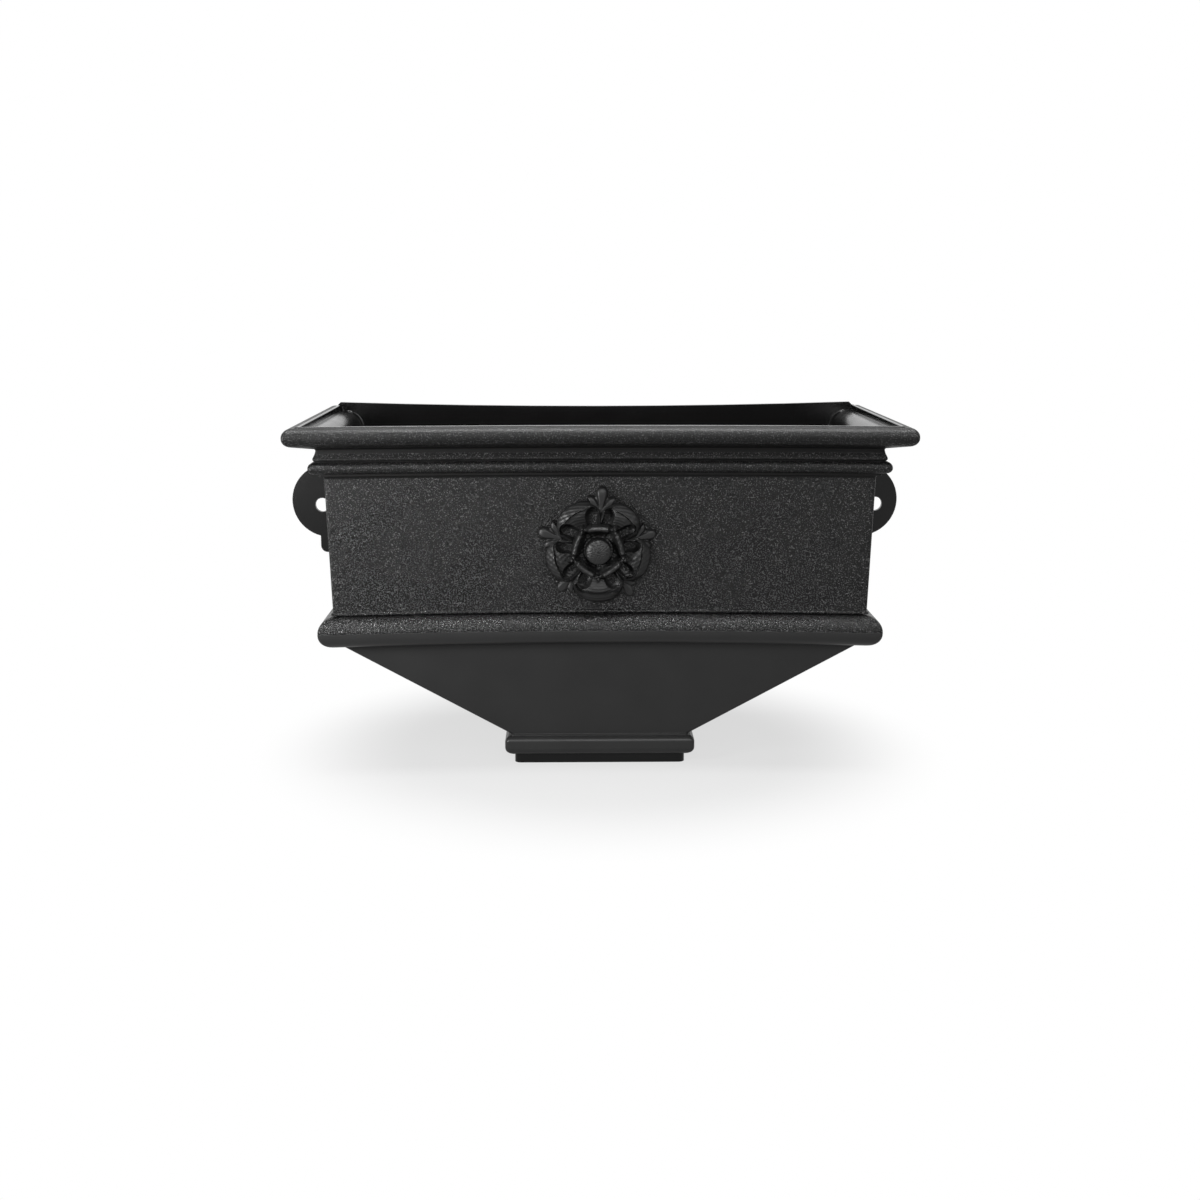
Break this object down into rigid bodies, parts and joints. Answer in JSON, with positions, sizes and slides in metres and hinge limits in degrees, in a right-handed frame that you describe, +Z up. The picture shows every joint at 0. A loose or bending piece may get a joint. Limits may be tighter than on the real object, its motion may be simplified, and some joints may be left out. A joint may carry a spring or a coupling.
{
  "type": "rainwater hopper head",
  "caption": "Wall-mounted open rainwater hopper head with a flared moulded rim, rose ornament, screw lugs, and a funnel to a rectangular spigot.",
  "frame": {"origin": "On the outlet's axis, in the plane of the spigot's lower end, on which the part stands.", "axes": "+X along the front, to the right of someone who faces it. +Y from the front towards the wall. +Z up."},
  "size_m": [0.3644, 0.165, 0.1899],
  "materials": {
    "cast_finish": "black, sand-cast texture outside, smooth gloss inside",
    "smooth_finish": "black, smooth satin gel coat",
    "spigot_finish": "black, smooth satin",
    "plate_finish": "black, smooth satin outside, gloss inside",
    "rose_finish": "black, smooth satin, worn lighter on its edges"
  },
  "bodies": {
    "root": {"hopper_box": "cast_finish", "funnel_base": "smooth_finish", "outlet_spigot": "spigot_finish", "back_plate": "plate_finish", "rose_motif": "rose_finish"}
  },
  "joints": []
}
